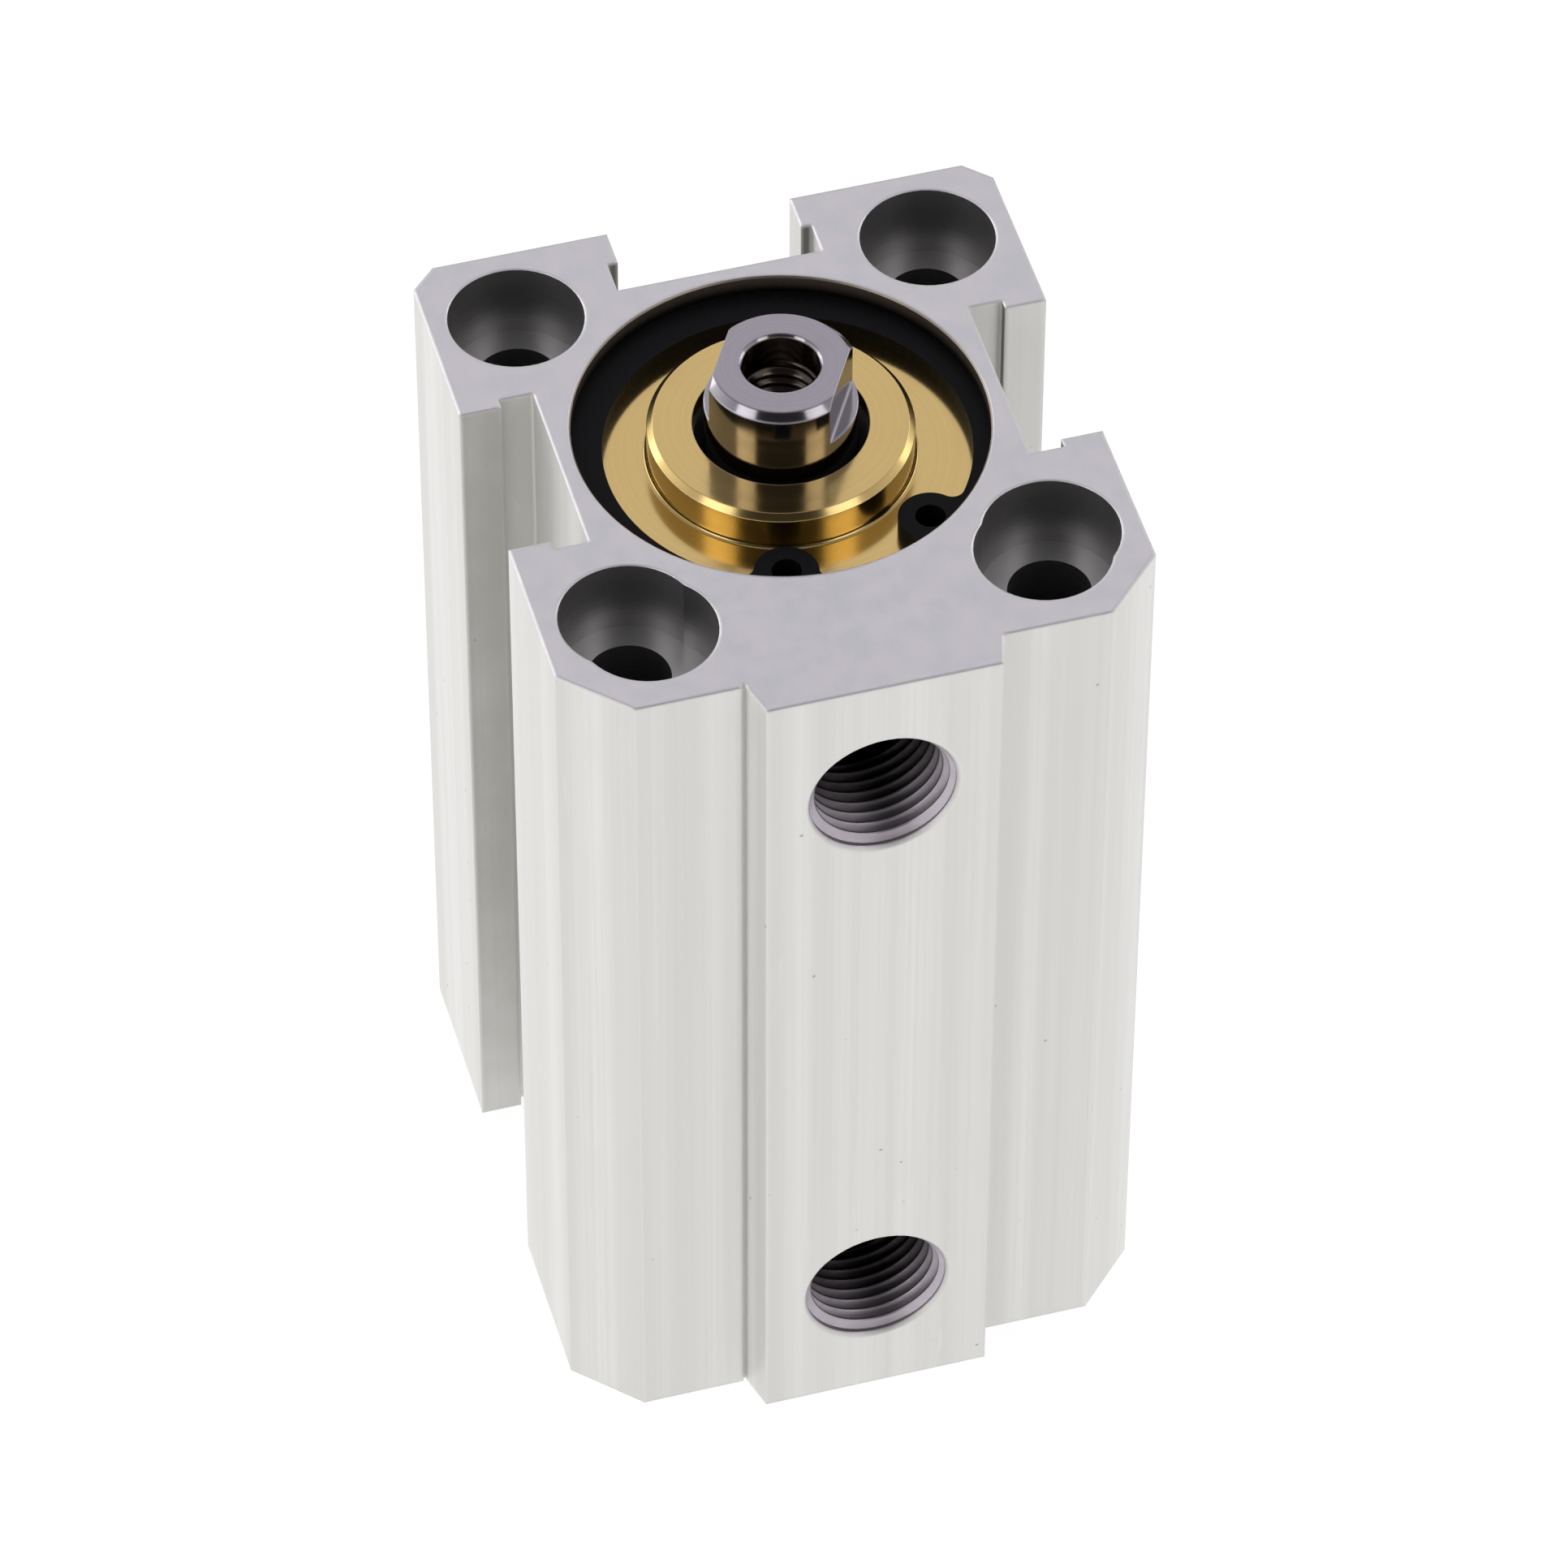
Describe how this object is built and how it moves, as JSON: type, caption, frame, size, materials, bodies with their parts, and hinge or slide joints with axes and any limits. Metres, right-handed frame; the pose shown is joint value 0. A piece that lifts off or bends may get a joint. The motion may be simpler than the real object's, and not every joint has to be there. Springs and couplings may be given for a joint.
{
  "type": "compact pneumatic cylinder",
  "caption": "Square double-acting air cylinder with a retracted round piston rod, female rod thread, wrench flats, side ports and T-slots on three sides.",
  "frame": {"origin": "on the bore axis, in the plane of the rear end face, which the cylinder stands on", "axes": "+Z along the rod, out of the front face; the two ports face -Y, so +X is to the right when looking at the ports with the rod up"},
  "size_m": [0.0396, 0.0443, 0.0745],
  "materials": {
    "anodised_aluminium": "drawn and clear anodised, satin, with fine lines along the extrusion",
    "gold_anodised": "lathe turned, gold coloured",
    "black_spring_steel": "black phosphated spring steel",
    "nitrile_rubber": "black nitrile, slightly greased",
    "sintered_bronze": "porous sintered bronze",
    "polyurethane": "dark polyurethane",
    "wear_strip": "acetal guide strip",
    "plain_aluminium": "turned aluminium",
    "bonded_magnet": "plastic bonded ferrite",
    "zinc_steel": "zinc plated",
    "ground_steel": "ground and polished stainless steel"
  },
  "bodies": {
    "barrel_assembly": {"barrel": "anodised_aluminium", "front_cover": "gold_anodised", "rear_cover": "gold_anodised", "front_circlip": "black_spring_steel", "rear_circlip": "black_spring_steel", "front_cover_o_ring": "nitrile_rubber", "rear_cover_o_ring": "nitrile_rubber", "rod_seal": "nitrile_rubber", "rod_bush": "sintered_bronze", "front_bumper": "polyurethane", "rear_bumper": "polyurethane"},
    "piston_guides": {"piston_wear_ring": "wear_strip", "front_piston_seal": "nitrile_rubber", "rear_piston_seal": "nitrile_rubber"},
    "rod_assembly": {"piston_front_half": "plain_aluminium", "piston_rear_half": "plain_aluminium", "piston_magnet": "bonded_magnet", "magnet_washer": "nitrile_rubber", "rod_o_ring": "nitrile_rubber", "piston_screw": "zinc_steel", "screw_washer": "zinc_steel", "piston_rod": "ground_steel"}
  },
  "joints": [
    {"name": "rod_stroke", "type": "slide", "parent": "barrel_assembly", "child": "piston_guides", "axis": [0, 0, 1], "range_m": [0, 0.035]},
    {"name": "rod_turn", "type": "hinge", "parent": "piston_guides", "child": "rod_assembly", "pos_m": [0, 0, 0.0345], "axis": [0, 0, 1], "continuous": true}
  ]
}
